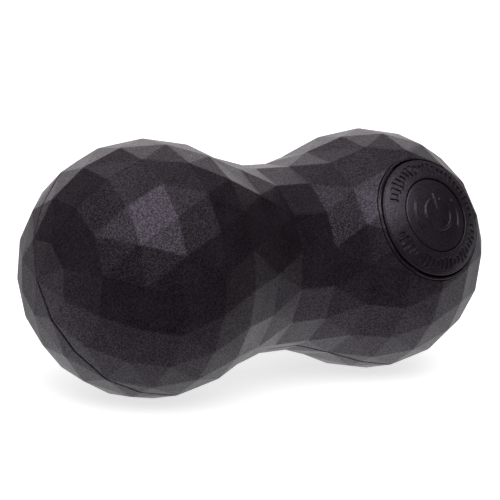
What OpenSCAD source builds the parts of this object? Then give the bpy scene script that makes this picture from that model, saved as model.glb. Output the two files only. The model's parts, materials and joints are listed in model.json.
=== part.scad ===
// Vibrating peanut massage roller: two faceted lobes joined by a waist.
// Parts are drawn in a parting frame: X runs along the roller, XY is the
// plane where the two halves meet, and +Z points out of the control disc.
// placed() then rolls the whole roller onto the facet edges it rests on.

/* [Body] */
// Diameter of the circle that the facet corners of a lobe lie on
lobe_d = 80; // [79:0.5:82]
// Distance between the two lobe centres
lobe_pitch = 87.2; // [86.4:0.2:88.4]
// Distance from mid-length to the outer corner ring of the waist
waist_outer_x = 18.6; // [18:0.1:19]
// Radius of the outer corner ring of the waist
waist_outer_r = 33.1; // [32.8:0.1:33.5]
// Distance from mid-length to the inner corner ring of the waist
waist_inner_x = 6.7; // [6.4:0.1:7]
// Radius of the inner corner ring of the waist
waist_inner_r = 30.1; // [29.9:0.1:30.5]
// Angle from the seam to the facet edge that faces the ground
rest_angle = 27; // [27:18:45]

/* [Shell] */
// Radius of the rigid shell around each lobe, under the skin
core_r = 36.5; // [36.3:0.1:36.7]
// Radius of the rigid shell at the waist
core_waist = 26.6; // [26.4:0.1:26.8]
// Wall thickness of the rigid shell
shell_t = 2.5; // [2.4:0.1:2.6]
// Open gap between the two rubber skins along the seam
seam_gap = 0.4; // [0.3:0.05:0.6]
// Radius of the screw columns that join the halves
column_r = 4.4; // [4.3:0.1:4.6]

/* [Control disc] */
// Radius of the round control disc
disc_r = 19.2; // [19:0.1:19.4]
// Radius of the dome that the disc follows
disc_dome_r = 40.1; // [40:0.1:40.4]
// Open groove between the disc and the skin's lip
disc_gap = 0.5; // [0.3:0.1:0.6]
// Radius of the power button in the middle of the disc
button_r = 12; // [11.8:0.1:12.2]
// How far the button's dome sits below the ring's dome
button_drop = 0.4; // [0.3:0.1:0.6]
// Radius of the ring of debossed ticks
tick_ring_r = 15.9; // [15.8:0.1:16.1]
// Ticks on each side of the upper arc's middle
ticks = 12; // [8:1:12]

/* [Drive] */
// Radius of the motor can
motor_r = 12.2; // [12:0.1:12.3]
// Length of the motor can
motor_len = 30.8; // [30:0.1:31]
// Distance of the motor's middle from mid-length
motor_x = 10; // [9.8:0.1:10.2]
// Radius of the motor shaft
shaft_r = 1.15; // [1.1:0.05:1.2]
// Radius of the eccentric weights
weight_r = 10; // [9:0.5:11]
// Thickness of the eccentric weights
weight_t = 6; // [5:0.5:6.5]

/* [Power] */
// Radius of a battery cell
cell_r = 9.15; // [9:0.05:9.2]
// Length of a battery cell
cell_len = 50; // [48:1:51]
// Length of the charging bay's mouth
bay_len = 12.8; // [12.6:0.1:13]
// Width of the charging bay's mouth
bay_w = 6.4; // [6.2:0.1:6.6]

/* [Hidden] */

$fn = 64;
eps = 0.01;
far = 120;                    // larger than any part, for half spaces
fit = 0.05;                   // clearance between parts that touch
lobe_r = lobe_d / 2;
lobe_x = lobe_pitch / 2;
rubber = [0.10, 0.095, 0.105];
disc_rubber = [0.09, 0.085, 0.095];
shell_grey = [0.22, 0.22, 0.24];
steel = [0.62, 0.63, 0.65];
bronze = [0.62, 0.45, 0.25];
board_green = [0.05, 0.30, 0.16];

// Heights in the control disc's column, measured from the lobe centre
disc_floor_z = 29.8;          // top of the shell's floor, under the ring
floor_t = 2;
switch_top_z = 28.2;          // where the button's stem meets the plunger
board_t = 1.6;
control_board_z = 22.4;       // underside of the control board
flange_z = 33.3;              // underside of the button's flange
flange_t = 1.2;
button_gap = 0.25;            // between the button and the ring
dome_r = disc_dome_r - button_drop;
ring_screw_r = 16.8;          // distance of the ring's screws from its axis
control_post_r = 14.5;        // distance of the control board's posts

// Main board, under the motor in the waist
main_board_z = -19.6;
main_board_x = [-20, 7];
main_board_w = 24;
main_posts = [[-17.5, -9.5], [-17.5, 9.5], [5, -9.5]];

// Motor
motor_x0 = motor_x - motor_len / 2;
motor_x1 = motor_x + motor_len / 2;
can_t = 1;
sleeve_t = 1.5;
sleeve_r = motor_r + sleeve_t;
bush_r = 2.5;
rotor_fit = 0.03;
weight_gap = 3.6;             // from the can's end to a weight
clamp_x = [9, 22];
clamp_ear_y = 17.4;
cradle_top_z = -0.6;

// Battery
cell_y = 9.5;
cells_x0 = -71;
wrap_t = 0.4;

// Waist flats: distance from the axis to the middle of a flat
waist_flat_r = waist_inner_r * cos(11.25);

// Charging port
socket_l = 8.94;
socket_w = 3.26;
socket_wall = 0.3;
socket_mouth_z = -26.5;

// Indicators, on the waist flat beside the port
lens_angle = 22.5;
lens_r = 1;
lens_xs = [-3.5, 0, 3.5];

// Shell screws, near the outer end of each lobe
screw_rad = 30;
screw_dir = 55;
head_z = -10;
head_r = 2.8;
plug_r = 3;
plug_top_z = -19.5;

// ---------------------------------------------------------------- helpers

module placed() {
    rotate([90 - rest_angle, 0, 0]) children();
}

module at_lobe(side) {
    translate([side * lobe_x, 0, 0]) children();
}

// A cylinder along Z between two heights
module post(r, z0, z1) {
    translate([0, 0, z0]) cylinder(r = r, h = z1 - z0);
}

// A cylinder along X between two places
module rod(r, x0, x1) {
    translate([x0, 0, 0]) rotate([0, 90, 0]) cylinder(r = r, h = x1 - x0);
}

// A bar along Z with half-round ends in X
module slot_bar(l, w, z0, z1) {
    straight = l - w;
    for (s = [-1, 1]) translate([s * straight / 2, 0, 0]) post(w / 2, z0, z1);
    translate([-straight / 2, -w / 2, z0]) cube([straight, w, z1 - z0]);
}

// Everything above, or below, a height
module above(z) {
    translate([-far, -far, z]) cube([2 * far, 2 * far, far]);
}
module below(z) {
    translate([-far, -far, z - far]) cube([2 * far, 2 * far, far]);
}

// Places around a circle
module around(r, count, first = 0) {
    for (i = [0 : count - 1])
        rotate([0, 0, first + i * 360 / count]) translate([r, 0, 0]) children();
}

// A round wire through a list of points, a little fuller at its bends
elbow_grow = 1.2;
elbow_turn = [17, 31, 0];
module wire(r, path) {
    for (i = [0 : len(path) - 2]) {
        step = path[i + 1] - path[i];
        length = norm(step);
        translate(path[i])
            rotate([0, acos(step[2] / length), atan2(step[1], step[0])])
                cylinder(r = r, h = length, $fn = 16);
        if (i > 0) translate(path[i]) rotate(elbow_turn) sphere(r = r * elbow_grow, $fn = 16);
    }
}

// A pan-head screw: its head sits on z = 0 and its shank runs up
module screw(shank_r, length, cap_r, cap_h) {
    post(shank_r, 0, length);
    post(cap_r, -cap_h, 0);
}

module at_shell_screws() {
    for (side = [-1, 1], up = [-1, 1])
        at_lobe(side)
            translate([side * screw_rad * cos(screw_dir), up * screw_rad * sin(screw_dir), 0])
                children();
}

// ---------------------------------------------------------- faceted outside

// Facet corners lie on rings. Rings 0 to 6 step 18 degrees down a lobe from
// its outer pole, and rings 7 and 8 form the waist. Odd rings have a corner
// on the seam, and the even ones straddle it.
ring_step = 18;
ring_count = [1, 8, 12, 16, 20, 20, 20, 16, 16];
last_lobe_ring = 6;
last_ring = 8;
// How far a facet's diagonal is drawn towards the 45 degree lines
diagonal_pull = 3;

function corners(k) = ring_count[k];
function ring_turn(k) = k > 0 && k % 2 == 0 ? 180 / corners(k) : 0;
function ring_x(k) = k <= last_lobe_ring ? lobe_x + lobe_r * cos(k * ring_step)
    : k == last_ring ? waist_inner_x : waist_outer_x;
function ring_r(k) = k <= last_lobe_ring ? lobe_r * sin(k * ring_step)
    : k == last_ring ? waist_inner_r : waist_outer_r;
function corner_angle(k, j) = ring_turn(k) + j * 360 / corners(k);
function first_of(k) = k == 0 ? 0 : first_of(k - 1) + corners(k - 1);
lobe_corners = first_of(last_ring) + corners(last_ring);

function index(side, k, j) = (side > 0 ? 0 : lobe_corners) + first_of(k) + j % corners(k);
function facet(side, a, b, c) = side > 0 ? [a, b, c] : [a, c, b];

// The corner of ring k that lies nearest an angle
function nearest(k, angle) = let (n = corners(k), j = round((angle - ring_turn(k)) * n / 360))
    ((j % n) + n) % n;

// The middle of edge j on ring k, nudged to pick the diagonal to ring other
function edge_mid(k, j, other) = let (
        mid = corner_angle(k, j) + 180 / corners(k),
        pull = diagonal_pull * sign(corners(other) - corners(k)))
    corners(other) == 1 ? 0 : mid + pull * sign(45 - mid % 90);

function band(side, k) = concat(
    k == 0 ? [] : [for (j = [0 : corners(k) - 1])
        facet(side, index(side, k, j), index(side, k, j + 1),
            index(side, k + 1, nearest(k + 1, edge_mid(k, j, k + 1))))],
    [for (j = [0 : corners(k + 1) - 1])
        facet(side, index(side, k + 1, j + 1), index(side, k + 1, j),
            index(side, k, nearest(k, edge_mid(k + 1, j, k))))]);

module facets() {
    points = [for (side = [1, -1], k = [0 : last_ring], j = [0 : corners(k) - 1])
        [side * ring_x(k), ring_r(k) * cos(corner_angle(k, j)),
            ring_r(k) * sin(corner_angle(k, j))]];
    bands = [for (side = [1, -1], k = [0 : last_ring - 1], f = band(side, k)) f];
    waist = [for (j = [0 : corners(last_ring) - 1])
        [index(1, last_ring, j), index(1, last_ring, j + 1),
            index(-1, last_ring, j + 1), index(-1, last_ring, j)]];
    polyhedron(points = points, faces = concat(bands, waist));
}

// ------------------------------------------------------------- smooth inside

// The shell's outline is two lobe circles blended by one waist arc
waist_arc_r = (pow(lobe_x, 2) + pow(core_waist, 2) - pow(core_r, 2)) / (2 * (core_r - core_waist));
waist_arc_y = core_waist + waist_arc_r;
blend_angle = atan(lobe_x / waist_arc_y);
// Turns the surface's own start line away from every hole and post
core_turn = -72;

module core_outline(inset) {
    r = core_r - inset;
    blend_y = r * cos(blend_angle);
    blend_x = lobe_x - r * sin(blend_angle);
    for (side = [-1, 1]) intersection() {
        translate([0, side * lobe_x]) circle(r, $fn = 96);
        translate([0, -far]) square([far, 2 * far]);
    }
    difference() {
        translate([0, -blend_x]) square([blend_y, 2 * blend_x]);
        translate([waist_arc_y, 0]) circle(waist_arc_r + inset, $fn = 192);
    }
}

module core(inset = 0) {
    rotate([core_turn, 0, 0]) rotate([0, 90, 0]) rotate_extrude($fn = 96)
        core_outline(inset);
}

// ------------------------------------------------------------------- housing

module lens_axes() {
    rotate([lens_angle, 0, 0]) for (x = lens_xs) translate([x, 0, 0]) children();
}

// Rounded lip that stands around the control disc
module disc_lip() {
    lip_w = 0.9;
    lip_in = disc_r + disc_gap;
    lip_foot_z = 31.4;
    lip_z = 34;
    rotate_extrude() {
        translate([lip_in, lip_foot_z]) square([lip_w, lip_z - lip_foot_z]);
        translate([lip_in + lip_w / 2, lip_z]) circle(lip_w / 2);
    }
}

module front_skin() {
    color(rubber) placed() {
        difference() {
            intersection() {
                facets();
                above(seam_gap / 2);
            }
            core(-fit);
            at_lobe(1) post(disc_r + disc_gap + eps, disc_floor_z - 2, lobe_r + 2);
        }
        at_lobe(1) disc_lip();
    }
}

module back_skin() {
    color(rubber) placed() difference() {
        intersection() {
            facets();
            below(-seam_gap / 2);
        }
        core(-fit);
        at_shell_screws() post(plug_r + fit, -lobe_r, head_z);
        slot_bar(bay_len, bay_w, -lobe_r, socket_mouth_z + 1);
        lens_axes() post(lens_r + fit, -lobe_r, -20);
    }
}

// Columns stop this far inside the shell's outer face
column_in = 1.3;
// Spigots on the front columns that locate the back ones
spigot_r = 3;
spigot_h = 1.5;

module shell_wall() {
    difference() {
        core();
        core(shell_t);
    }
}

module front_shell() {
    color(shell_grey) placed() difference() {
        union() {
            intersection() {
                shell_wall();
                above(0);
            }
            at_shell_screws() post(spigot_r, -spigot_h, spigot_h);
            intersection() {
                core(column_in);
                union() {
                    at_shell_screws() post(column_r, 0, lobe_r);
                    at_lobe(1) post(23.5, disc_floor_z - floor_t, disc_floor_z);
                }
            }
            at_lobe(1) around(control_post_r, 3, 90)
                post(2.6, control_board_z + board_t, disc_floor_z - floor_t + eps);
        }
        at_lobe(1) {
            post(disc_r + disc_gap, disc_floor_z, lobe_r);
            post(8, control_board_z, disc_floor_z + 1);
            around(ring_screw_r, 3, 30) post(1.1, control_board_z, disc_floor_z + 1);
            around(control_post_r, 3, 90) post(0.85, control_board_z, disc_floor_z - 0.6);
        }
        at_shell_screws() post(1.55, -spigot_h - 1, 12.2);
    }
}

// Ribs of the back shell that carry the motor
module motor_saddle() {
    rib_t = 2;
    difference() {
        for (x = [clamp_x[0], clamp_x[1] - rib_t])
            translate([x, -14.5, -lobe_r]) cube([rib_t, 29, lobe_r + cradle_top_z]);
        rod(sleeve_r + fit, 0, 40);
    }
    for (y = [-1, 1])
        translate([(clamp_x[0] + clamp_x[1]) / 2, y * clamp_ear_y, 0])
            post(3.2, -lobe_r, cradle_top_z);
}

module back_shell() {
    color(shell_grey) placed() difference() {
        union() {
            intersection() {
                shell_wall();
                below(0);
            }
            intersection() {
                core(column_in);
                union() {
                    at_shell_screws() post(column_r, -lobe_r, 0);
                    motor_saddle();
                    for (p = main_posts)
                        translate([p[0], p[1], 0]) post(2.4, -lobe_r, main_board_z);
                    for (x = cradle_post_xs)
                        translate([x, 0, 0]) post(3, -lobe_r, cradle_base_z);
                }
            }
        }
        at_shell_screws() {
            post(1.6, head_z - 1, 1);
            post(plug_r + fit, -lobe_r, head_z);
            post(spigot_r + fit, -spigot_h - fit, 1);
        }
        for (p = main_posts)
            translate([p[0], p[1], 0]) post(0.85, main_board_z - 3, main_board_z + 1);
        for (y = [-1, 1])
            translate([(clamp_x[0] + clamp_x[1]) / 2, y * clamp_ear_y, 0])
                post(1.05, cradle_top_z - 8, 1);
        for (x = cradle_post_xs)
            translate([x, 0, 0]) post(1.05, cradle_base_z - 6, cradle_base_z + 1);
        slot_bar(socket_l + 0.4, socket_w + 0.4, -lobe_r, -20);
        lens_axes() post(lens_r + fit, -lobe_r, -20);
    }
}

module shell_screws() {
    color(steel) placed() at_shell_screws()
        translate([0, 0, head_z]) screw(1.5, 22, head_r, 2);
}

module screw_plugs() {
    color(rubber) placed() intersection() {
        facets();
        at_shell_screws() post(plug_r, -lobe_r, plug_top_z);
    }
}

// -------------------------------------------------------------- control disc

// Debossed bars in two arcs, above and below the button. Their lengths rise
// and fall like a wave.
module disc_ticks() {
    bar_w = 1.1;
    bar_l = 3;
    swing = 1;
    wave_step = 80;
    pitch = 6.65;
    for (arc = [[78, ticks], [272, ticks - 1]], i = [-arc[1] : arc[1]])
        rotate([0, 0, arc[0] + i * pitch])
            translate([tick_ring_r, 0, 0])
                cube([bar_l + swing * cos(i * wave_step), bar_w, 2 * lobe_r], center = true);
}

module control_ring() {
    tick_depth = 0.6;
    color(disc_rubber) placed() at_lobe(1) difference() {
        intersection() {
            post(disc_r, disc_floor_z, lobe_r + 2);
            sphere(r = disc_dome_r, $fn = 128);
        }
        post(button_r + button_gap, 0, lobe_r + 3);
        post(button_r + 1.5, 0, flange_z + flange_t + 0.2);
        around(ring_screw_r, 3, 30) post(1.05, 0, 33.5);
        difference() {
            intersection() {
                disc_ticks();
                above(0);
            }
            sphere(r = disc_dome_r - tick_depth, $fn = 128);
        }
    }
}

// Raised on-off sign between two waves: an open ring with a bar in it
module power_sign() {
    sign_r = 5.5;
    line_w = 0.8;
    wave_r = 9.1;
    wave_l = 8.4;
    foot = flange_z + flange_t;
    difference() {
        post(sign_r, foot, lobe_r + 1);
        post(sign_r - line_w, 0, lobe_r + 2);
        translate([-1.8, 0, 0]) cube([3.6, far, far]);
    }
    translate([-line_w / 2, 1.2, foot]) cube([line_w, 5.6, 7]);
    difference() {
        intersection() {
            post(wave_r, foot, lobe_r + 1);
            translate([-far, -wave_l / 2, 0]) cube([2 * far, wave_l, far]);
        }
        post(wave_r - line_w, 0, lobe_r + 2);
    }
}

module power_button() {
    relief = 0.35;
    color(disc_rubber) placed() at_lobe(1) {
        difference() {
            union() {
                intersection() {
                    post(button_r, flange_z, lobe_r + 1);
                    sphere(r = dome_r, $fn = 128);
                }
                post(button_r + 1.2, flange_z, flange_z + flange_t);
                intersection() {
                    power_sign();
                    sphere(r = dome_r + relief, $fn = 128);
                }
            }
            post(10.5, flange_z - 1, flange_z + 2.2);
        }
        post(3, switch_top_z, flange_z + 2.2 + eps);
    }
}

module ring_screws() {
    color(steel) placed() at_lobe(1) around(ring_screw_r, 3, 30)
        translate([0, 0, disc_floor_z - floor_t]) screw(1, 5.5, 2, 1.3);
}

module control_board() {
    color(board_green) placed() at_lobe(1) difference() {
        post(18, control_board_z, control_board_z + board_t);
        around(control_post_r, 3, 90) post(1, 0, lobe_r);
    }
}

module control_board_screws() {
    color(steel) placed() at_lobe(1) around(control_post_r, 3, 90)
        translate([0, 0, control_board_z]) screw(0.8, 6, 1.8, 1.2);
}

module switch_body() {
    side = 6;
    top = switch_top_z - 0.8;
    color([0.15, 0.15, 0.16]) placed() at_lobe(1) difference() {
        translate([-side / 2, -side / 2, control_board_z + board_t])
            cube([side, side, top - control_board_z - board_t]);
        post(1.75 + fit, top - 1.9, top + 1);
    }
}

module switch_plunger() {
    color([0.75, 0.72, 0.65]) placed() at_lobe(1)
        post(1.75, switch_top_z - 2, switch_top_z);
}

// --------------------------------------------------------------------- motor

module motor_can() {
    color(steel) placed() difference() {
        union() {
            rod(motor_r, motor_x0, motor_x1);
            rod(4, motor_x1 - eps, motor_x1 + 1.5);
        }
        rod(motor_r - can_t, motor_x0 - 1, motor_x1 - can_t);
        rod(bush_r, motor_x0, motor_x1 + 2);
    }
}

cap_face_x = motor_x0 + 0.2;

module motor_end_cap() {
    color([0.85, 0.84, 0.80]) placed() difference() {
        union() {
            rod(motor_r - can_t - fit, cap_face_x, cap_face_x + 3);
            rod(4, cap_face_x - 1.7, cap_face_x + eps);
        }
        rod(bush_r, motor_x0 - 5, motor_x0 + 5);
        for (y = [-4, 4])
            translate([motor_x0 - 1, y - 0.6, -9.6]) cube([6, 1.2, 1.2]);
    }
}

module motor_bushes() {
    color(bronze) placed() difference() {
        union() {
            rod(bush_r - 0.01, cap_face_x - 1.7, cap_face_x + 2.5);
            rod(bush_r - 0.01, motor_x1 - can_t, motor_x1 + 1.5);
        }
        rod(shaft_r + rotor_fit, motor_x0 - 5, motor_x1 + 5);
    }
}

module motor_magnets() {
    out = motor_r - can_t - fit;
    color([0.16, 0.16, 0.17]) placed() intersection() {
        difference() {
            rod(out, motor_x0 + 7, motor_x1 - 3);
            rod(out - 1.7, motor_x0, motor_x1);
        }
        for (s = [-1, 1]) rotate([90 - s * 90, 0, 0])
            translate([0, -out, out * 0.35]) cube([motor_x1, 2 * out, out]);
    }
}

module motor_brushes() {
    color(bronze) placed() for (s = [-1, 1])
        translate([cap_face_x + 3 + fit, s * 4.1 - 0.9, -0.75]) cube([2.4, 1.8, 1.5]);
}

// Rotor stack with three winding slots
module motor_armature() {
    color([0.50, 0.32, 0.16]) placed() difference() {
        rod(9.1, motor_x0 + 8, motor_x1 - 4);
        rod(shaft_r + fit, motor_x0, motor_x1);
        for (a = [0, 120, 240]) rotate([a, 0, 0])
            translate([motor_x0, -0.9, 5]) cube([motor_len, 1.8, 8]);
    }
}

module motor_commutator() {
    color(bronze) placed() difference() {
        rod(3.1, cap_face_x + 3.2, motor_x0 + 7.9);
        rod(shaft_r + fit, motor_x0, motor_x1);
    }
}

left_weight_x = motor_x0 - weight_gap - weight_t;
right_weight_x = motor_x1 + weight_gap;

module motor_shaft() {
    color(steel) placed()
        rod(shaft_r, left_weight_x - 1, right_weight_x + weight_t + 1);
}

// A half disc on a hub, clamped to the shaft by a grub screw
module eccentric(x) {
    hub_r = 4;
    color([0.45, 0.43, 0.40]) placed() difference() {
        union() {
            intersection() {
                rod(weight_r, x, x + weight_t);
                below(0);
            }
            rod(hub_r, x, x + weight_t);
        }
        rod(shaft_r + fit, x - 1, x + weight_t + 1);
        translate([x + weight_t / 2, 0, 0]) post(1.3, 0, hub_r + 1);
    }
}
module left_weight() {
    eccentric(left_weight_x);
}
module right_weight() {
    eccentric(right_weight_x);
}

module weight_screws() {
    color([0.2, 0.2, 0.22]) placed() for (x = [left_weight_x, right_weight_x])
        translate([x + weight_t / 2, 0, 0]) post(1.25, shaft_r + fit, 3.9);
}

module motor_sleeve() {
    color([0.12, 0.12, 0.13]) placed() difference() {
        rod(sleeve_r, clamp_x[0] - 2, clamp_x[1] + 2);
        rod(motor_r + fit, 0, 40);
    }
}

module motor_clamp() {
    band_t = 1.5;
    inner = sleeve_r + fit;
    ear = 20.6;
    mid = (clamp_x[0] + clamp_x[1]) / 2;
    color(steel) placed() difference() {
        union() {
            intersection() {
                rod(inner + band_t, clamp_x[0] + 2.1, clamp_x[1] - 2.1);
                above(cradle_top_z);
            }
            translate([mid - 3.5, -ear, cradle_top_z]) cube([7, 2 * ear, band_t]);
        }
        rod(inner, 0, 40);
        for (y = [-1, 1]) translate([mid, y * clamp_ear_y, 0]) post(1.3, -5, 5);
    }
}

module clamp_screws() {
    color(steel) placed() for (y = [-1, 1])
        translate([(clamp_x[0] + clamp_x[1]) / 2, y * clamp_ear_y, cradle_top_z + 1.5])
            mirror([0, 0, 1]) screw(1, 8, 2, 1.4);
}

// ------------------------------------------------------------------- battery

cells_x1 = cells_x0 + cell_len;
cradle_base_z = -13;
cradle_base_t = 1.8;
cradle_post_xs = [cells_x0 + 20, cells_x1 - 10];

// Outline of the wrapped pair of cells, seen along X
module pair_rod(grow, x0, x1) {
    r = cell_r + grow;
    for (y = [-1, 1]) translate([0, y * cell_y, 0]) rod(r, x0, x1);
    translate([x0, -cell_y, -r]) cube([x1 - x0, 2 * cell_y, 2 * r]);
}

module battery_cells() {
    nub = 0.6;
    color([0.20, 0.42, 0.62]) placed() for (y = [-1, 1])
        translate([0, y * cell_y, 0]) {
            rod(cell_r, cells_x0, cells_x1 - nub);
            rod(2.8, cells_x1 - nub - eps, cells_x1);
        }
}

module cell_links() {
    link_t = 0.3;
    color(steel) placed() for (x = [cells_x0 - link_t - fit, cells_x1 + fit])
        translate([x, -cell_y - 3, -2.5]) cube([link_t, 2 * cell_y + 6, 5]);
}

module battery_wrap() {
    color([0.10, 0.22, 0.34]) placed() difference() {
        pair_rod(fit + wrap_t, cells_x0 + 1, cells_x1 - 1);
        pair_rod(fit, cells_x0 - 1, cells_x1 + 1);
    }
}

module battery_cradle() {
    rib_t = 2;
    ribs = [cells_x0 + 8, cells_x1 - 6];
    color([0.28, 0.28, 0.30]) placed() difference() {
        union() {
            for (x = ribs) translate([x, -17, cradle_base_z]) cube([rib_t, 34, 13]);
            translate([ribs[0], -10, cradle_base_z])
                cube([ribs[1] - ribs[0] + rib_t, 20, cradle_base_t]);
        }
        pair_rod(2 * fit + wrap_t, cells_x0 - 2, cells_x1 + 2);
        for (x = cradle_post_xs) translate([x, 0, 0]) {
            post(1.2, -lobe_r, 0);
            post(2.2, cradle_base_z + 1, 0);
        }
    }
}

module cradle_screws() {
    color(steel) placed() for (x = cradle_post_xs)
        translate([x, 0, cradle_base_z + 1]) mirror([0, 0, 1]) screw(1, 6.5, 2, 1.4);
}

module protection_board() {
    color(board_green) placed()
        translate([cells_x1 + 0.5, -15, -5]) cube([1.2, 30, 10]);
}

// ------------------------------------------------------- main board and port

module main_board() {
    color(board_green) placed() difference() {
        translate([main_board_x[0], -main_board_w / 2, main_board_z])
            cube([main_board_x[1] - main_board_x[0], main_board_w, board_t]);
        for (p = main_posts) translate([p[0], p[1], 0]) post(1, -lobe_r, 0);
    }
}

module main_board_screws() {
    color(steel) placed() for (p = main_posts)
        translate([p[0], p[1], main_board_z + board_t])
            mirror([0, 0, 1]) screw(0.8, 4.4, 1.8, 1.2);
}

module charge_socket() {
    back_z = main_board_z - 1.2;
    color(steel) placed() {
        difference() {
            slot_bar(socket_l, socket_w, socket_mouth_z, main_board_z);
            slot_bar(socket_l - 2 * socket_wall, socket_w - 2 * socket_wall,
                socket_mouth_z - 1, back_z);
        }
        translate([-3.35, -0.35, socket_mouth_z + 1.6])
            cube([6.7, 0.7, back_z - socket_mouth_z - 1.6 + eps]);
    }
}

module port_plug() {
    play = 0.3;
    plate_in = socket_mouth_z - 0.55;
    color(rubber) placed() {
        slot_bar(bay_len - 2 * play, bay_w - play, -waist_flat_r + 0.05, plate_in);
        slot_bar(7.2, 2.2, plate_in - eps, socket_mouth_z + 1);
        // grip rib across the free end
        translate([-bay_len / 2 + 2.2, -1.6, -waist_flat_r - 0.35]) cube([0.8, 3.2, 0.6]);
    }
}

module indicator_leds() {
    led_y = 8.6;
    color([0.95, 0.93, 0.80]) placed() for (x = lens_xs)
        translate([x - 0.8, led_y - 0.6, main_board_z - 0.5]) cube([1.6, 1.2, 0.5]);
}

module indicator_lenses() {
    color([0.85, 0.88, 0.90]) placed() lens_axes()
        post(lens_r, -waist_flat_r, -22.6);
}

// -------------------------------------------------------------------- wiring

board_top_z = main_board_z + board_t;

module battery_leads() {
    x = cells_x1 + 3;
    color([0.70, 0.10, 0.08]) placed() for (y = [-7, -3])
        wire(0.7, [[cells_x1 + 1.72, y, -3], [x, y, -3], [x, y, board_top_z + 0.01]]);
}

module motor_leads() {
    x = cap_face_x - 0.8;
    color([0.75, 0.12, 0.10]) placed() for (y = [-4, 4])
        wire(0.5, [[cap_face_x + 1.5, y, -9], [x, y, -9], [x, y, board_top_z + 0.01]]);
}

module control_cable() {
    color([0.12, 0.12, 0.14]) placed()
        wire(0.9, [[lobe_x - 12, 6, control_board_z - 0.9], [lobe_x - 17, 6, 20],
            [-2, 6, 20], [-16.9, 15.5, 14], [-16.9, 15.5, -6],
            [-16.9, 6, -14], [-16.9, 6, board_top_z + 0.01]]);
}

// ---------------------------------------------------------------------- parts

front_skin();
back_skin();
front_shell();
back_shell();
control_ring();
power_button();
ring_screws();
control_board();
control_board_screws();
switch_body();
switch_plunger();
motor_can();
motor_end_cap();
motor_bushes();
motor_magnets();
motor_brushes();
motor_armature();
motor_commutator();
motor_shaft();
left_weight();
right_weight();
weight_screws();
motor_sleeve();
motor_clamp();
clamp_screws();
battery_cells();
cell_links();
battery_wrap();
battery_cradle();
cradle_screws();
protection_board();
main_board();
main_board_screws();
charge_socket();
port_plug();
indicator_leds();
indicator_lenses();
battery_leads();
motor_leads();
control_cable();
shell_screws();
screw_plugs();
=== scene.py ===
"""Vibrating peanut massage roller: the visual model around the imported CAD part.

Shapes are worked out in millimetres in the part's parting frame: X runs along
the roller, XY is the plane where its halves meet, +Z points out of the control
disc. PLACE then rolls them onto the row frame and turns them into metres.
"""
import json
import math

import bmesh
import bpy
import numpy as np
from mathutils import Matrix, Vector

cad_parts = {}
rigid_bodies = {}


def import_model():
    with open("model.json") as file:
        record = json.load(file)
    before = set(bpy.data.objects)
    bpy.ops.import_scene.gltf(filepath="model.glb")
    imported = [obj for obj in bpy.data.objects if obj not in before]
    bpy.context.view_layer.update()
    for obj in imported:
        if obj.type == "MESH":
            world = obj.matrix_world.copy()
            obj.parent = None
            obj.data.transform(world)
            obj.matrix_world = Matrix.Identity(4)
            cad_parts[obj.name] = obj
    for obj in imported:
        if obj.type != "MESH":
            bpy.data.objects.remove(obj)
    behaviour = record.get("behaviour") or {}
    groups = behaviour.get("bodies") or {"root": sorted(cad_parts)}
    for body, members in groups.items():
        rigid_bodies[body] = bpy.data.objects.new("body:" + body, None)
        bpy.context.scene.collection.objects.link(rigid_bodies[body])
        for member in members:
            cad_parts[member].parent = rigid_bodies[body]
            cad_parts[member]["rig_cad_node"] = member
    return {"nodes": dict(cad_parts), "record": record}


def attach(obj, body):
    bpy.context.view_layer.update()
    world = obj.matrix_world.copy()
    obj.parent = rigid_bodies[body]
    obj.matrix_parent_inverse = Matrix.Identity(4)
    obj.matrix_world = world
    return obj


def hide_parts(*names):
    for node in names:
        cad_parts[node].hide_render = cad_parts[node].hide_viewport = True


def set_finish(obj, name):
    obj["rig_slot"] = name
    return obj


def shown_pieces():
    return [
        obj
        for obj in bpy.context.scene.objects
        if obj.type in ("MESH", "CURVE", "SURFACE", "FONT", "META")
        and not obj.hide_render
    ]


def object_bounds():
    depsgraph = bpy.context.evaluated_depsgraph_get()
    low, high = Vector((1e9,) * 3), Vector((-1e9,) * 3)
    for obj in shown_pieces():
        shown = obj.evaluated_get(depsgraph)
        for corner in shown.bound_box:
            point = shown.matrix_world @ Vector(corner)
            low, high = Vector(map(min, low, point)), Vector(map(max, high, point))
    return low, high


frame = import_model()
CAD_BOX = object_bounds()
scene = bpy.context.scene

MM = 0.001
ROLL = math.radians(63)
PLACE = Matrix.Rotation(ROLL, 4, "X") @ Matrix.Scale(MM, 4)

# Outside, as in the part: facet corners lie on rings down each lobe
LOBE_R = 40.0
LOBE_X = 43.6
WAIST_RINGS = {7: (18.6, 33.1), 8: (6.7, 30.1)}
RING_STEP = 18
RING_COUNT = [1, 8, 12, 16, 20, 20, 20, 16, 16]
LAST_RING = 8
DIAGONAL_PULL = 3

# Inside of the skin: the rigid shell, with a little play
CORE_R = 36.5
CORE_WAIST = 26.6
PLAY = 0.05
HALF_GAP = 0.2

# Control disc
DISC_R = 19.2
DISC_GAP = 0.5
DISC_DOME = 40.1
DISC_FLOOR = 29.8
BUTTON_R = 12.0
BUTTON_GAP = 0.25
BUTTON_DOME = DISC_DOME - 0.4
FLANGE_Z = 33.3
FLANGE_T = 1.2
FLANGE_OVERLAP = 1.2       # how far the button's flange reaches under the ring
STEM_R = 3.0
STEM_END = 28.2            # where the button's stem meets the switch

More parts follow.
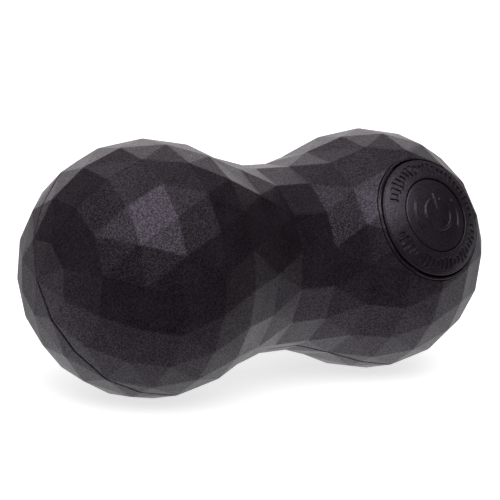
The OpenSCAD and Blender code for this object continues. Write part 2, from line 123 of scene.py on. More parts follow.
# Charging bay, indicators and screw plugs, all on the back skin
WAIST_FLAT = WAIST_RINGS[8][1] * math.cos(math.radians(11.25))
BAY = (12.8, 6.4)
TONGUE = (7.2, 2.2)        # of the port plug, inside the socket
RIB = (3.2, 0.8)           # grip rib on the port plug
RIB_X = -BAY[0] / 2 + 2.6
SOCKET_Z = -26.5
LENS_ANGLE = 22.5
LENS_R = 1.0
LENS_XS = (-3.5, 0.0, 3.5)
LENS_INSIDE = -20.0        # how deep the lens holes are cut
BAY_MOUTH, LENS_MOUTH = 0.25, 0.2
PLUG_R = 3.0
PLUG_TOP = -19.5
PLUG_PLAY = 0.12
HEAD_Z = -10.0
SCREW_RAD = 30.0
SCREW_DIR = math.radians(55)

# Finish of the moulded edges
FACET_EDGE = 0.38
SEAM_EDGE = 0.4
PLUG_EDGE = 0.3
CAD_EDGE = 0.12
SHARP_ANGLE = math.radians(40)

# Points around a turned shape
RING_TURN = 640
BUTTON_TURN = 360
FINE_TURN = 160
CORE_TURN = 96
COARSE_TURN = 64
LENS_TURN = 48
PAST = 2                   # how far a cutting tool reaches past the surface it cuts


# ------------------------------------------------------------------ mesh tools

def add_object(name, mesh):
    obj = bpy.data.objects.new(name, mesh)
    scene.collection.objects.link(obj)
    return obj


def from_lists(name, verts, faces):
    mesh = bpy.data.meshes.new(name)
    mesh.from_pydata([tuple(map(float, v)) for v in verts], [],
                     [tuple(map(int, f)) for f in faces])
    mesh.update()
    return add_object(name, mesh)


def from_bmesh(name, bm):
    mesh = bpy.data.meshes.new(name)
    bm.to_mesh(mesh)
    bm.free()
    return add_object(name, mesh)


def bake(obj):
    """Turns an object's modifiers into its mesh."""
    graph = bpy.context.evaluated_depsgraph_get()
    mesh = bpy.data.meshes.new_from_object(obj.evaluated_get(graph))
    old = obj.data
    obj.modifiers.clear()
    obj.data = mesh
    bpy.data.meshes.remove(old)


def combine(obj, operation, *tools):
    """Unites, cuts or intersects obj with each tool; the tools are used up."""
    for tool in tools:
        mod = obj.modifiers.new("combine", "BOOLEAN")
        mod.operation = operation
        mod.solver = "MANIFOLD"
        mod.object = tool
        bake(obj)
        bpy.data.objects.remove(tool)
    return obj


def lathe(name, path, turns, offset=None, axis_x=False):
    """Revolves (radius, height) points about Z, or about X.

    A path that starts and ends on the axis is closed by poles, and any other
    path is closed on itself. offset(radius, angle) is added to the height of
    each point whose path entry has a third value that is true.
    """
    angles = np.arange(turns) * (2 * math.pi / turns)
    poles = path[0][0] == 0
    inner = path[1:-1] if poles else path
    verts, faces = [], []
    for entry in inner:
        r, z = entry[0], entry[1]
        zs = np.full(turns, z)
        if offset is not None and len(entry) > 2 and entry[2]:
            zs = z + offset(np.full(turns, r), angles)
        verts.extend(np.stack([r * np.cos(angles), r * np.sin(angles), zs], 1))
    rings = len(inner)
    for i in range(rings if not poles else rings - 1):
        a, b = i * turns, ((i + 1) % rings) * turns
        for j in range(turns):
            k = (j + 1) % turns
            faces.append((a + j, b + j, b + k, a + k))
    if poles:
        first = path[0]
        top = first[1] + (offset(np.zeros(1), np.zeros(1))[0]
                          if offset is not None and len(first) > 2 and first[2] else 0)
        for z, ring, flip in ((top, 0, False), (path[-1][1], rings - 1, True)):
            pole = len(verts)
            verts.append((0, 0, z))
            for j in range(turns):
                a, b = ring * turns + j, ring * turns + (j + 1) % turns
                faces.append((pole, b, a) if flip else (pole, a, b))
    verts = np.array(verts)
    if axis_x:
        verts = verts[:, [2, 0, 1]]
    obj = from_lists(name, verts, faces)
    fix_normals(obj)
    return obj


def fix_normals(obj):
    bm = bmesh.new()
    bm.from_mesh(obj.data)
    bmesh.ops.recalc_face_normals(bm, faces=bm.faces)
    bm.to_mesh(obj.data)
    bm.free()


def loft(name, loops):
    """Joins loops of equally many points, and closes both ends."""
    count = len(loops[0])
    verts = [p for loop in loops for p in loop]
    faces = [tuple(range(count)), tuple(range(len(verts) - count, len(verts)))]
    for i in range(len(loops) - 1):
        for j in range(count):
            k = (j + 1) % count
            faces.append((i * count + j, i * count + k,
                          (i + 1) * count + k, (i + 1) * count + j))
    obj = from_lists(name, verts, faces)
    fix_normals(obj)
    return obj


def slot_loop(length, width, z, grow=0.0):
    """Points of a straight slot with round ends, at one height."""
    straight, r, arc = (length - width) / 2, width / 2 + grow, 14
    points = []
    for side in (1, -1):
        for i in range(arc + 1):
            a = math.radians(-90 + 180 * i / arc)
            points.append((side * (straight + r * math.cos(a)), side * r * math.sin(a), z))
    return points


def dome_path(dome, r0, r1, step):
    """Points of a dome's top between two radii, marked to take the relief."""
    count = max(2, round(abs(r1 - r0) / step))
    radii = [r0 + (r1 - r0) * i / count for i in range(count + 1)]
    return [(r, math.sqrt(dome * dome - r * r), True) for r in radii]


def smooth(obj):
    """Smooth shading that keeps facets flat and hard edges hard."""
    bm = bmesh.new()
    bm.from_mesh(obj.data)
    for face in bm.faces:
        face.smooth = True
    for edge in bm.edges:
        edge.smooth = len(edge.link_faces) == 2 and edge.calc_face_angle(0) < SHARP_ANGLE
    bm.to_mesh(obj.data)
    bm.free()
    mod = obj.modifiers.new("even_normals", "WEIGHTED_NORMAL")
    mod.keep_sharp = True
    mod.weight = 100


def finish_piece(obj, body, slot, nodes):
    """Puts a piece in its place, on its body, instead of the CAD nodes it shows."""
    obj.data.transform(PLACE)
    smooth(obj)
    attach(obj, body)
    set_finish(obj, slot)
    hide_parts(*nodes)


# --------------------------------------------------------------- faceted skins

def ring_turn(k):
    """Turn of a ring's first corner in degrees: every second ring sits between two."""
    return 180 / RING_COUNT[k] if k > 0 and k % 2 == 0 else 0.0


def ring_place(k):
    """Distance of a ring from mid-length, and its radius."""
    if k in WAIST_RINGS:
        return WAIST_RINGS[k]
    a = math.radians(k * RING_STEP)
    return LOBE_X + LOBE_R * math.cos(a), LOBE_R * math.sin(a)


def nearest(k, angle):
    """The corner of ring k that is closest to an angle."""
    count = RING_COUNT[k]
    return math.floor((angle - ring_turn(k)) * count / 360 + 0.5) % count


def edge_middle(k, j, other):
    """Angle that a facet standing on edge j of ring k leans to, on the other ring."""
    if RING_COUNT[other] == 1:
        return 0.0
    middle = ring_turn(k) + (j + 0.5) * 360 / RING_COUNT[k]
    pull = DIAGONAL_PULL * np.sign(RING_COUNT[other] - RING_COUNT[k])
    return middle + pull * np.sign(45 - middle % 90)


def facet_body():
    """The closed faceted outside, with every edge rounded like moulded rubber."""
    bm = bmesh.new()
    corner = {}
    for side in (1, -1):
        for k in range(LAST_RING + 1):
            x, r = ring_place(k)
            for j in range(RING_COUNT[k]):
                a = math.radians(ring_turn(k) + j * 360 / RING_COUNT[k])
                corner[side, k, j] = bm.verts.new((side * x, r * math.cos(a), r * math.sin(a)))
    for side in (1, -1):
        for k in range(LAST_RING):
            for a, b in ((k, k + 1), (k + 1, k)):
                if RING_COUNT[a] == 1:
                    continue
                for j in range(RING_COUNT[a]):
                    tip = 0 if RING_COUNT[b] == 1 else nearest(b, edge_middle(a, j, b))
                    bm.faces.new((corner[side, a, j], corner[side, a, (j + 1) % RING_COUNT[a]],
                                  corner[side, b, tip]))
    for j in range(RING_COUNT[LAST_RING]):
        k = (j + 1) % RING_COUNT[LAST_RING]
        bm.faces.new((corner[1, LAST_RING, j], corner[1, LAST_RING, k],
                      corner[-1, LAST_RING, k], corner[-1, LAST_RING, j]))
    bmesh.ops.recalc_face_normals(bm, faces=bm.faces)
    bmesh.ops.bevel(bm, geom=bm.edges[:], offset=FACET_EDGE, offset_type="OFFSET",
                    segments=3, profile=0.5, affect="EDGES", clamp_overlap=True)
    return bm


def skin_half(bm, side):
    """One half of the outside, cut off at the seam with a rounded rim."""
    radius, steps, above = SEAM_EDGE, 4, 0.1
    tolerance = 0.01
    half = bm.copy()
    up = Vector((0, 0, side))
    depths = [-above] + [radius * (1 - math.cos(math.pi / 2 * i / steps))
                         for i in range(1, steps + 1)]
    for depth in depths:
        bmesh.ops.bisect_plane(half, geom=half.verts[:] + half.edges[:] + half.faces[:],
                               plane_co=up * (HALF_GAP + depth), plane_no=up)
    bmesh.ops.remove_doubles(half, verts=half.verts[:], dist=tolerance / 5)
    half.normal_update()
    moves = []
    for v in half.verts:
        depth = side * v.co.z - HALF_GAP
        if not -above - tolerance < depth < radius - tolerance / 10:
            continue
        normal = sum((f.normal * f.calc_area() for f in v.link_faces), Vector((0, 0, 0)))
        normal.z = 0
        inward = radius - math.sqrt(radius ** 2 - (radius - max(depth, 0)) ** 2)
        moves.append((v, normal.normalized() * inward))
    for v, move in moves:
        v.co -= move
    low, high = sorted((side * HALF_GAP, side * 2 * LOBE_R))
    reach = 4 * LOBE_R
    keep = loft("keep", [[(x * reach, y * reach, z) for x, y in
                          ((-1, -1), (1, -1), (1, 1), (-1, 1))] for z in (low, high)])
    return combine(from_bmesh("skin_half", half), "INTERSECT", keep)


def core_tool(grow):
    """The rigid shell's outside as a closed solid of revolution about X."""
    r = CORE_R + grow
    arc_r = (LOBE_X ** 2 + CORE_WAIST ** 2 - CORE_R ** 2) / (2 * (CORE_R - CORE_WAIST))
    arc_y = CORE_WAIST + arc_r
    blend = math.atan2(LOBE_X, arc_y)
    right = []
    lobe_steps, waist_steps = 40, 12
    for i in range(lobe_steps + 1):
        a = (math.pi / 2 + blend) * i / lobe_steps
        right.append((r * math.sin(a), LOBE_X + r * math.cos(a)))
    for i in range(1, waist_steps + 1):
        a = blend * (1 - i / waist_steps)
        waist = arc_r - grow
        right.append((arc_y - waist * math.cos(a), waist * math.sin(a)))
    left = [(p[0], -p[1]) for p in reversed(right[:-1])]
    return lathe("core", right + left, CORE_TURN, axis_x=True)


def at_disc(obj):
    """Moves a shape from the middle of the roller to the control disc's axis."""
    obj.data.transform(Matrix.Translation((LOBE_X, 0, 0)))
    return obj


def post_tool(r, z0, z1, turns):
    """A cylinder about Z between two heights."""
    return lathe("post", [(0, z1), (r, z1), (r, z0), (0, z0)], turns)


def screw_places():
    """Feet of the four screw columns."""
    for side in (-1, 1):
        for up in (-1, 1):
            yield (side * (LOBE_X + SCREW_RAD * math.cos(SCREW_DIR)),
                   up * SCREW_RAD * math.sin(SCREW_DIR), 0)


def disc_lip():
    """Lip that stands around the control disc, with rounded edges."""
    inner = DISC_R + DISC_GAP
    width, foot, top, edge = 0.75, 31.4, 34.45, 0.35
    path = [(inner, foot), (inner + width, foot)]
    for middle, start in ((inner + width - edge, 0), (inner + edge, 90)):
        for turn in range(0, 91, 18):
            a = math.radians(start + turn)
            path.append((middle + edge * math.cos(a), top - edge + edge * math.sin(a)))
    return at_disc(lathe("lip", path, FINE_TURN))


def lip_shadow_gap():
    """Fine V-groove where the lip rises out of the facets."""
    lip_width, width, depth, outer_depth, flare = 0.7, 0.36, 1.15, 0.6, 0.1
    inner = DISC_R + DISC_GAP + lip_width
    outer = inner + width
    height = lambda r: math.sqrt(LOBE_R ** 2 - r * r)
    return at_disc(lathe("groove", [
        (inner, height(inner) - depth), (inner, LOBE_R), (outer + flare, LOBE_R),
        (outer, height(outer) - outer_depth)], FINE_TURN))


def flared(loop_at, z_deep, z_face, radius):
    """A cutting prism whose mouth at z_face (facing -Z) opens in a quarter round."""
    steps = 4
    loops = [loop_at(z_deep, 0.0)]
    for i in range(steps + 1):
        a = math.pi / 2 * i / steps
        loops.append(loop_at(z_face + radius * (1 - math.sin(a)), radius * (1 - math.cos(a))))
    loops.append(loop_at(z_face - PAST, radius))
    return loft("mouth", loops)


def circle_loop(r, z):
    """Points of a circle at one height."""
    turns = [2 * math.pi * i / LENS_TURN for i in range(LENS_TURN)]
    return [(r * math.cos(a), r * math.sin(a), z) for a in turns]


def at_lens(obj, x):
    """Moves a shape from the middle of the roller to an indicator's axis."""
    obj.data.transform(Matrix.Rotation(math.radians(LENS_ANGLE), 4, "X")
                       @ Matrix.Translation((x, 0, 0)))
    return obj


outside = facet_body()

front = skin_half(outside, 1)
front.name = "front_skin_moulding"
combine(front, "DIFFERENCE", core_tool(PLAY),
        at_disc(post_tool(DISC_R + DISC_GAP + 0.01, DISC_FLOOR - PAST, LOBE_R + PAST,
                          FINE_TURN)),
        lip_shadow_gap())
combine(front, "UNION", disc_lip())
finish_piece(front, "housing", "skin_rubber", ["front_skin"])

back = skin_half(outside, -1)
back.name = "back_skin_moulding"
combine(back, "DIFFERENCE", core_tool(PLAY))
combine(back, "DIFFERENCE",
        flared(lambda z, g: slot_loop(*BAY, z, g), SOCKET_Z + 1, -WAIST_FLAT, BAY_MOUTH))
for lens_x in LENS_XS:
    hole = flared(lambda z, g: circle_loop(LENS_R + PLAY + g, z), LENS_INSIDE, -WAIST_FLAT,
                  LENS_MOUTH)
    combine(back, "DIFFERENCE", at_lens(hole, lens_x))
for place in screw_places():
    hole = post_tool(PLUG_R + PLUG_PLAY, -LOBE_R, HEAD_Z, COARSE_TURN)
    hole.data.transform(Matrix.Translation(place))
    combine(back, "DIFFERENCE", hole)
finish_piece(back, "housing", "skin_rubber", ["back_skin"])

plugs = None
for place in screw_places():
    post = post_tool(PLUG_R, -LOBE_R, PLUG_TOP, COARSE_TURN)
    post.data.transform(Matrix.Translation(place))
    plugs = post if plugs is None else combine(plugs, "UNION", post)
plugs.name = "screw_plug_buttons"
combine(plugs, "INTERSECT", from_bmesh("outside", outside))
edge = plugs.modifiers.new("rounded", "BEVEL")
edge.width, edge.segments, edge.limit_method = PLUG_EDGE, 3, "ANGLE"
edge.angle_limit = math.radians(60)      # the rims only, not the facets across them
bake(plugs)
finish_piece(plugs, "housing", "skin_rubber", ["screw_plugs"])


# ---------------------------------------------------------------- control disc

def step_down(distance, width):
    """1 inside a shape, 0 outside it, soft over width."""
    t = np.clip(0.5 - distance / width, 0, 1)
    return t * t * (3 - 2 * t)


def rounded_bar(u, v, length, width, corner):
    """Distance to a bar with rounded corners, less than 0 inside it."""
    du = np.abs(u) - (length / 2 - corner)
    dv = np.abs(v) - (width / 2 - corner)
    beyond = np.hypot(np.maximum(du, 0), np.maximum(dv, 0))
    return beyond + np.minimum(np.maximum(du, dv), 0) - corner


def arc_line(x, y, radius, middle, half, width):
    """Distance to a round-ended arc about the disc's axis, less than 0 inside it."""
    turn = np.arctan2(y, x) - middle
    turn = np.arctan2(np.sin(turn), np.cos(turn))
    on_arc = np.abs(np.hypot(x, y) - radius)
    end = middle + np.where(turn > 0, half, -half)
    to_end = np.hypot(x - radius * np.cos(end), y - radius * np.sin(end))
    return np.where(np.abs(turn) <= half, on_arc, to_end) - width / 2


TICK_ARCS = ((78, 12), (272, 11))    # middle in degrees, ticks on each side of it
TICK_PITCH = 6.65
TICK_RING = 15.9
TICK_WIDTH = 1.1
TICK_CORNER = 0.35
TICK_LENGTH, TICK_SWING, TICK_WAVE = 3.0, 1.0, 80    # mean, swing, degrees a tick
TICK_DEPTH = 0.6
TICK_WALL = 0.28                     # width of a tick's sloping wall


def ticks_offset(r, angle):
    """Two arcs of debossed bars whose lengths rise and fall like a wave."""
    depth = np.zeros_like(r)
    for middle, side in TICK_ARCS:
        for i in range(-side, side + 1):
            turn = angle - math.radians(middle + i * TICK_PITCH)
            length = TICK_LENGTH + TICK_SWING * math.cos(math.radians(TICK_WAVE * i))
            d = rounded_bar(r * np.cos(turn) - TICK_RING, r * np.sin(turn),
                            length, TICK_WIDTH, TICK_CORNER)
            cut = np.where(np.cos(turn) > 0, step_down(d, TICK_WALL), 0)
            depth = np.maximum(depth, cut)
    return -TICK_DEPTH * depth


SIGN_WIDTH = 0.8
SIGN_HEIGHT = 0.35
SIGN_WALL = 0.35                     # width of the lines' sloping walls
SIGN_R, SIGN_MOUTH = 5.1, 24         # ring of the on-off sign, half its opening
STROKE_Y, STROKE_LENGTH = 4.0, 5.6
WAVE_R, WAVE_HALF = 8.7, 28


def sign_offset(r, angle):
    """Raised on-off sign between two curved waves."""
    x, y = r * np.cos(angle), r * np.sin(angle)
    up = math.pi / 2
    wave = math.radians(WAVE_HALF)
    lines = [arc_line(x, y, SIGN_R, -up, math.radians(180 - SIGN_MOUTH), SIGN_WIDTH),
             rounded_bar(x, y - STROKE_Y, SIGN_WIDTH, STROKE_LENGTH, SIGN_WIDTH / 2),
             arc_line(x, y, WAVE_R, 0, wave, SIGN_WIDTH),
             arc_line(x, y, WAVE_R, math.pi, wave, SIGN_WIDTH)]
    return SIGN_HEIGHT * step_down(np.minimum.reduce(lines), SIGN_WALL)


def ring_path():
    """The fixed ring: domed top, rounded rims, and a ledge over the button's flange."""
    inner, outer = BUTTON_R + BUTTON_GAP, DISC_R
    edge_in, edge_out, drop_in, drop_out = 0.3, 0.5, 0.02, 0.08
    top = dome_path(DISC_DOME, outer - edge_out, inner + edge_in, 0.14)
    height = lambda r: math.sqrt(DISC_DOME ** 2 - r * r)
    rim_out, rim_in = height(outer - edge_out) - drop_out, height(inner + edge_in) - drop_in
    outer_arc = [(outer - edge_out * (1 - math.cos(a)), rim_out - edge_out * (1 - math.sin(a)))
                 for a in np.radians([0, 20, 40, 60, 75, 90])]
    inner_arc = [(inner + edge_in * (1 - math.sin(a)), rim_in - edge_in * (1 - math.cos(a)))
                 for a in np.radians([15, 35, 55, 75, 90])]
    ledge = FLANGE_Z + FLANGE_T + 0.2
    counterbore = BUTTON_R + FLANGE_OVERLAP + 0.3
    return ([(outer, DISC_FLOOR)] + outer_arc + top[1:] + inner_arc
            + [(inner, ledge), (counterbore, ledge), (counterbore, DISC_FLOOR)])


def button_path():
    """The button: domed top, rounded rim, a flange below the ring, and a stem."""
    edge, drop, cup_r = 0.45, 0.05, 10.5
    top = dome_path(BUTTON_DOME, 0, BUTTON_R - edge, 0.13)
    rim_z = top[-1][1] - drop
    arc = [(BUTTON_R - edge * (1 - math.sin(a)), rim_z - edge * (1 - math.cos(a)))
           for a in np.radians([15, 35, 55, 75, 90])]
    flange_r, flange_top, cup_z = BUTTON_R + FLANGE_OVERLAP, FLANGE_Z + FLANGE_T, FLANGE_Z + 2.2
    return (top + arc + [
        (BUTTON_R, flange_top), (flange_r, flange_top), (flange_r, FLANGE_Z),
        (cup_r, FLANGE_Z), (cup_r, cup_z), (STEM_R, cup_z), (STEM_R, STEM_END),
        (0, STEM_END)])


ring = at_disc(lathe("control_ring_moulding", ring_path(), RING_TURN, ticks_offset))
finish_piece(ring, "housing", "disc_rubber", ["control_ring"])

button = at_disc(lathe("power_button_cap", button_path(), BUTTON_TURN, sign_offset))
finish_piece(button, "power_button", "disc_rubber", ["power_button"])


# ----------------------------------------------------------- port and lenses

def port_plug():
    """The bay's soft plug: a rounded plate, its tongue and a grip rib."""
    play, edge = 0.3, 0.35
    length, width = BAY[0] - 2 * play, BAY[1] - play
    face, inside = -WAIST_FLAT + 0.05, SOCKET_Z - 0.55
    loops = [slot_loop(length, width, inside, -0.25), slot_loop(length, width, inside - 0.2)]
    for i in range(6):
        a = math.pi / 2 * i / 5
        loops.append(slot_loop(length, width, face + edge * (1 - math.sin(a)),
                               -edge * (1 - math.cos(a))))
    plate = loft("port_plug_moulding", loops)
    tongue = loft("tongue", [slot_loop(*TONGUE, z, grow) for z, grow in (
        (inside - 0.3, 0), (SOCKET_Z + 0.7, 0), (SOCKET_Z + 0.95, -0.2), (SOCKET_Z + 1, -0.4))])
    rib_loops = []
    for z, grow in ((0.3, 0), (-0.1, 0), (-0.27, -0.1), (-0.34, -0.25)):
        rib_loops.append([(p[1], p[0], p[2]) for p in slot_loop(*RIB, face + z, grow)])
    rib = loft("rib", rib_loops)
    rib.data.transform(Matrix.Translation((RIB_X, 0, 0)))
    return combine(plate, "UNION", tongue, rib)


finish_piece(port_plug(), "port_plug", "skin_rubber", ["port_plug"])


def lens_path():
    """An indicator lens: a low dome with a rounded rim, on a straight stem."""
    rim, sag, stem = 0.22, 0.12, -22.6
    face = -WAIST_FLAT + 0.06
    dome = [(t * (LENS_R - rim), face + sag * t * t) for t in (0, 0.25, 0.5, 0.75, 1)]
    edge = [(LENS_R - rim * (1 - math.sin(a)), face + sag + rim * (1 - math.cos(a)))
            for a in np.radians([20, 40, 60, 75, 90])]
    return dome + edge + [(LENS_R, stem), (0, stem)]


lenses = None
for lens_x in LENS_XS:
    lens = at_lens(lathe("indicator_lens_caps", lens_path(), LENS_TURN), lens_x)
    lenses = lens if lenses is None else combine(lenses, "UNION", lens)
finish_piece(lenses, "housing", "lens", ["indicator_lenses"])


# -------------------------------------------------------------------- materials

class Graph:
    """Short way to build a shader: sockets or values go in, an output comes out."""

    def __init__(self, tree):
        self.tree = tree
        tree.nodes.clear()

    def node(self, kind, inputs=None, out=0, **props):
        n = self.tree.nodes.new(kind)
        for key, value in props.items():
            setattr(n, key, value)
        for key, value in (inputs or {}).items():
            if isinstance(value, bpy.types.NodeSocket):
                self.tree.links.new(value, n.inputs[key])
            else:
                n.inputs[key].default_value = value
        return n.outputs[out] if n.outputs else n

    def math(self, operation, *values):
        return self.node("ShaderNodeMath", dict(enumerate(values)), operation=operation)

    def noise(self, where, size_mm, detail, rough):
        return self.node("ShaderNodeTexNoise", {"Vector": where, "Scale": 1000.0 / size_mm,
                                                "Detail": detail, "Roughness": rough})

    def span(self, value, low, high, to_low=0.0, to_high=1.0, kind="LINEAR"):
        limits = {0: value, 1: low, 2: high, 3: to_low, 4: to_high}
        return self.node("ShaderNodeMapRange", limits, interpolation_type=kind)

    def mix(self, factor, a, b):
        return self.node("ShaderNodeMix", {"Factor": factor, 6: a, 7: b}, out=2,
                         data_type="RGBA")

    def bump(self, height, depth_mm):
        return self.node("ShaderNodeBump", {"Strength": 1.0, "Distance": depth_mm * MM,
                                            "Height": height})


# Strength of the painted highlight: how much paler sharp edges are painted
PAINTED_EDGE_HIGHLIGHT = 0.15
STAIN_SIZE = 9.0                     # millimetres across the broad mottling
PORE_SIZE = 2.7                      # wide pores, in grain sizes


def shade(color, factor):
    """A colour made lighter or darker, with its alpha."""
    return (color[0] * factor, color[1] * factor, color[2] * factor, 1.0)


def make_material(name, color, rough, grain, metal=0.0, mottle=0.12, spread=0.08,
                  brushed=False, coat=0.0, tint=(1.0, 1.0, 1.0), sparkle=0.0, dull=0.0):
    """Moulded or metal surface: fine grain, mottled colour, and sharp edges painted paler as a
    highlight.

    grain is the size and depth of the pores in millimetres. sparkle is how much
    the gloss varies from pore to pore, and dull how much of the surface is matt.
    """
    mat = bpy.data.materials.new(name)
    mat.use_nodes = True
    g = Graph(mat.node_tree)
    where = g.node("ShaderNodeTexCoord", out="Object")
    size, depth = grain
    along = where
    if brushed:
        along = g.node("ShaderNodeVectorMath", {0: where, 1: (0.08, 1.0, 1.0)},
                       operation="MULTIPLY")
    fine = g.noise(along, size, 2.0, 0.7)
    pores = g.noise(along, size * PORE_SIZE, 1.0, 0.5)
    broad = g.noise(where, STAIN_SIZE, 3.0, 0.55)
    normal = g.bump(g.math("ADD", fine, g.math("MULTIPLY", pores, 0.5)), depth)
    tone = g.math("ADD", g.span(broad, 0.35, 0.65, -mottle, mottle),
                  g.span(fine, 0.35, 0.65, -mottle, mottle))
    body = g.mix(g.span(tone, -1.0, 1.0), shade(color, 0.1), shade(color, 1.9))
    # Painted highlight: sharp edges are made paler in the base colour
    pointed = g.node("ShaderNodeNewGeometry", out="Pointiness")
    edge_highlight_mask = g.math("MULTIPLY", g.span(pointed, 0.52, 0.6), PAINTED_EDGE_HIGHLIGHT)
    body = g.mix(edge_highlight_mask, body, shade([c * 0.6 + 0.08 for c in color], 1.0))
    roughness = g.span(g.math("ADD", fine, broad), 0.7, 1.3, rough - spread, rough + spread)
    gloss = g.span(fine, 0.38, 0.62, 0.5 - sparkle, 0.5 + sparkle)
    bsdf = g.node("ShaderNodeBsdfPrincipled", {
        "Base Color": body, "Metallic": metal, "Roughness": roughness, "Normal": normal,
        "Specular IOR Level": gloss, "Specular Tint": tint + (1.0,),
        "Coat Weight": coat, "Coat Roughness": 0.2})
    if dull:
        pit = g.node("ShaderNodeBsdfDiffuse", {"Color": body})
        bsdf = g.node("ShaderNodeMixShader", {0: g.span(fine, 0.4, 0.6, 2 * dull, 0.0),
                                              1: bsdf, 2: pit})
    g.node("ShaderNodeOutputMaterial", {"Surface": bsdf})
    return mat


RUBBER = dict(color=(0.0120, 0.0082, 0.0112), spread=0.05, tint=(0.97, 0.85, 1.08))
MATERIALS = {
    "skin_rubber": dict(RUBBER, rough=0.33, grain=(0.5, 0.10), mottle=0.3, sparkle=0.2,
                        dull=0.16),
    "disc_rubber": dict(RUBBER, rough=0.36, grain=(0.5, 0.05), mottle=0.2, sparkle=0.15,
                        dull=0.08),
    "shell_plastic": dict(color=(0.02, 0.02, 0.022), rough=0.5, grain=(0.6, 0.02)),
    "steel": dict(color=(0.55, 0.56, 0.58), rough=0.32, metal=1.0, grain=(0.25, 0.004),
                  brushed=True, mottle=0.06),
    "spring_steel": dict(color=(0.45, 0.46, 0.48), rough=0.3, metal=1.0, grain=(0.2, 0.004),
                         brushed=True, mottle=0.06),
    "bronze": dict(color=(0.45, 0.27, 0.10), rough=0.42, metal=1.0, grain=(0.2, 0.008)),
    "magnet": dict(color=(0.03, 0.03, 0.032), rough=0.6, grain=(0.3, 0.02)),
    "copper": dict(color=(0.5, 0.18, 0.06), rough=0.35, metal=1.0, grain=(0.3, 0.02),
                   brushed=True),
    "weight_metal": dict(color=(0.3, 0.28, 0.26), rough=0.5, metal=1.0, grain=(0.3, 0.015)),
    "board": dict(color=(0.008, 0.09, 0.035), rough=0.35, grain=(0.5, 0.006), coat=0.3),
    "switch_plastic": dict(color=(0.015, 0.015, 0.016), rough=0.45, grain=(0.3, 0.01)),
    "white_plastic": dict(color=(0.62, 0.6, 0.55), rough=0.45, grain=(0.4, 0.01),
                          mottle=0.04),
    "battery_wrap": dict(color=(0.01, 0.04, 0.11), rough=0.3, grain=(1.2, 0.02), coat=0.4),
    "cell_film": dict(color=(0.03, 0.13, 0.32), rough=0.3, grain=(1.0, 0.01), coat=0.4),
    "foam_rubber": dict(color=(0.012, 0.012, 0.013), rough=0.75, grain=(0.5, 0.06)),
    "lens": dict(color=(0.34, 0.37, 0.4), rough=0.25, grain=(0.3, 0.006), mottle=0.04,
                 coat=0.3),
    "wire_red": dict(color=(0.35, 0.015, 0.012), rough=0.45, grain=(0.3, 0.01)),
    "wire_black": dict(color=(0.012, 0.012, 0.013), rough=0.45, grain=(0.3, 0.01)),
}

materials = {slot: make_material(slot, **look) for slot, look in MATERIALS.items()}


def wear_material(obj, slot):
    """Gives an object the one material of its slot."""
    obj.data.materials.clear()
    obj.data.materials.append(materials[slot])


slots = {part["node"]: part["material_slot"] for part in frame["record"]["subparts"]}

for name, node in frame["nodes"].items():
    wear_material(node, slots[name])
    node.modifiers.new("joined", "WELD").merge_threshold = 1e-6
    edge = node.modifiers.new("soft_edges", "BEVEL")
    edge.width = CAD_EDGE * MM
    edge.segments = 2
    edge.limit_method = "ANGLE"
    edge.angle_limit = SHARP_ANGLE
    even = node.modifiers.new("even_normals", "WEIGHTED_NORMAL")
    even.keep_sharp = True
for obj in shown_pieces():
    if "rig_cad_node" not in obj:
        wear_material(obj, obj["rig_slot"])


# ------------------------------------------------------------- stage and light

def direction(azimuth, elevation):
    """Unit vector from the roller towards a place around it, in the viewer's degrees."""
    a, e = math.radians(azimuth), math.radians(elevation)
    return Vector((math.sin(a) * math.cos(e), -math.cos(a) * math.cos(e), math.sin(e)))


# Soft lights: azimuth, elevation, full to this angle, gone by this one, strength
STUDIO = [
    (148, 8, 25, 34, 1.3),       # white backdrop
    (175, 15, 8, 35, 0.2),       # its dimmer far side
    (-31, 58, 10, 39, 2.95),     # soft box over the camera
    (15, 2, 5, 35, 0.2),         # low light from the front
    (0, 90, 28, 54, 0.46),       # light from the ceiling
    (-95, 35, 5, 30, 0.34),      # fill on the left
]
BASE_LIGHT = 0.07
LIGHT_COLOR = (1, 0.968, 0.98, 1)
FLOOR_HALF = 20                      # metres
FLOOR_GLOW = 0.72
FLOOR_FAR = 165                      # azimuth of the floor's bright far side

world = bpy.data.worlds.new("studio")
world.use_nodes = True
scene.world = world
g = Graph(world.node_tree)
looking = g.node("ShaderNodeTexCoord", out="Generated")
total = None
for azimuth, elevation, inner, outer, strength in STUDIO:
    facing = g.node("ShaderNodeVectorMath", {0: looking, 1: direction(azimuth, elevation)},
                    out="Value", operation="DOT_PRODUCT")
    patch = g.span(facing, math.cos(math.radians(outer)), math.cos(math.radians(inner)),
                   0.0, strength, "SMOOTHSTEP")
    total = patch if total is None else g.math("MAXIMUM", total, patch)
total = g.math("ADD", total, BASE_LIGHT)
seen = g.node("ShaderNodeLightPath", out="Is Camera Ray")
strength = g.node("ShaderNodeMix", {0: seen, 2: total, 3: 1.0}, out=0, data_type="FLOAT")
sky = g.node("ShaderNodeBackground", {"Color": LIGHT_COLOR, "Strength": strength})
g.node("ShaderNodeOutputWorld", {"Surface": sky})

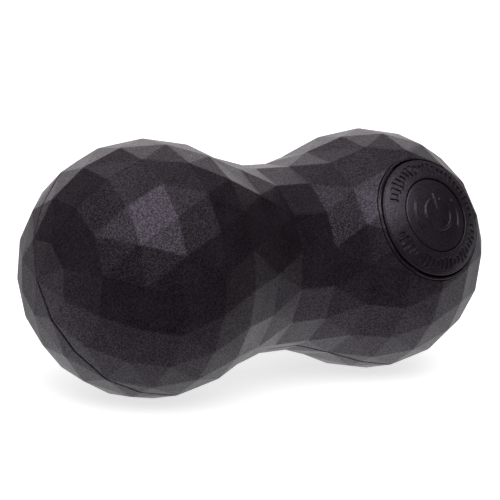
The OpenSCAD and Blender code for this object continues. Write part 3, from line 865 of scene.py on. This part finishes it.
floor = from_lists("floor", [(x * FLOOR_HALF, y * FLOOR_HALF, CAD_BOX[0].z) for x, y in
                             ((-1, -1), (1, -1), (1, 1), (-1, 1))], [(0, 1, 2, 3)])
pale = bpy.data.materials.new("pale_floor")
pale.use_nodes = True
g = Graph(pale.node_tree)
lit = g.node("ShaderNodeBsdfDiffuse", {"Color": (0.8, 0.8, 0.8, 1)})
spot = g.node("ShaderNodeNewGeometry", out="Position")
depth = g.node("ShaderNodeVectorMath", {0: spot, 1: direction(FLOOR_FAR, 0)},
               out="Value", operation="DOT_PRODUCT")
# What the rubber mirrors of the floor is a painted glow with painted shade: dim in front,
# bright under it, softer behind
painted_floor_glow = g.node("ShaderNodeEmission", {"Strength": g.math(
    "MINIMUM", g.span(depth, -0.1, 0.0, 0.14, 1.0), g.span(depth, 0.0, 0.06, 1.0, 0.62))})
glow = g.node("ShaderNodeEmission", {"Strength": FLOOR_GLOW})
shown = g.node("ShaderNodeAddShader", {0: lit, 1: glow})
seen = g.node("ShaderNodeLightPath", out="Is Camera Ray")
g.node("ShaderNodeOutputMaterial", {
    "Surface": g.node("ShaderNodeMixShader", {0: seen, 1: painted_floor_glow, 2: shown})})
floor.data.materials.append(pale)

CAMERA_AZ, CAMERA_EL, CAMERA_ROLL = -38.94, 11.21, 3.44
CAMERA_DISTANCE = 0.6467
CAMERA_SHIFT = (-0.019, 0.0164)

camera = bpy.data.objects.new("camera", bpy.data.cameras.new("camera"))
scene.collection.objects.link(camera)
scene.camera = camera
camera.data.lens = 145.8
camera.data.sensor_width = 36
camera.data.shift_x, camera.data.shift_y = CAMERA_SHIFT
away = direction(CAMERA_AZ, CAMERA_EL)
camera.location = away * CAMERA_DISTANCE
camera.rotation_mode = "QUATERNION"
roll = Matrix.Rotation(math.radians(CAMERA_ROLL), 4, "Z").to_quaternion()
camera.rotation_quaternion = (-away).to_track_quat("-Z", "Y") @ roll
camera.data.clip_start, camera.data.clip_end = 0.01, 50

scene.view_settings.view_transform = "Standard"
scene.view_settings.look = "None"
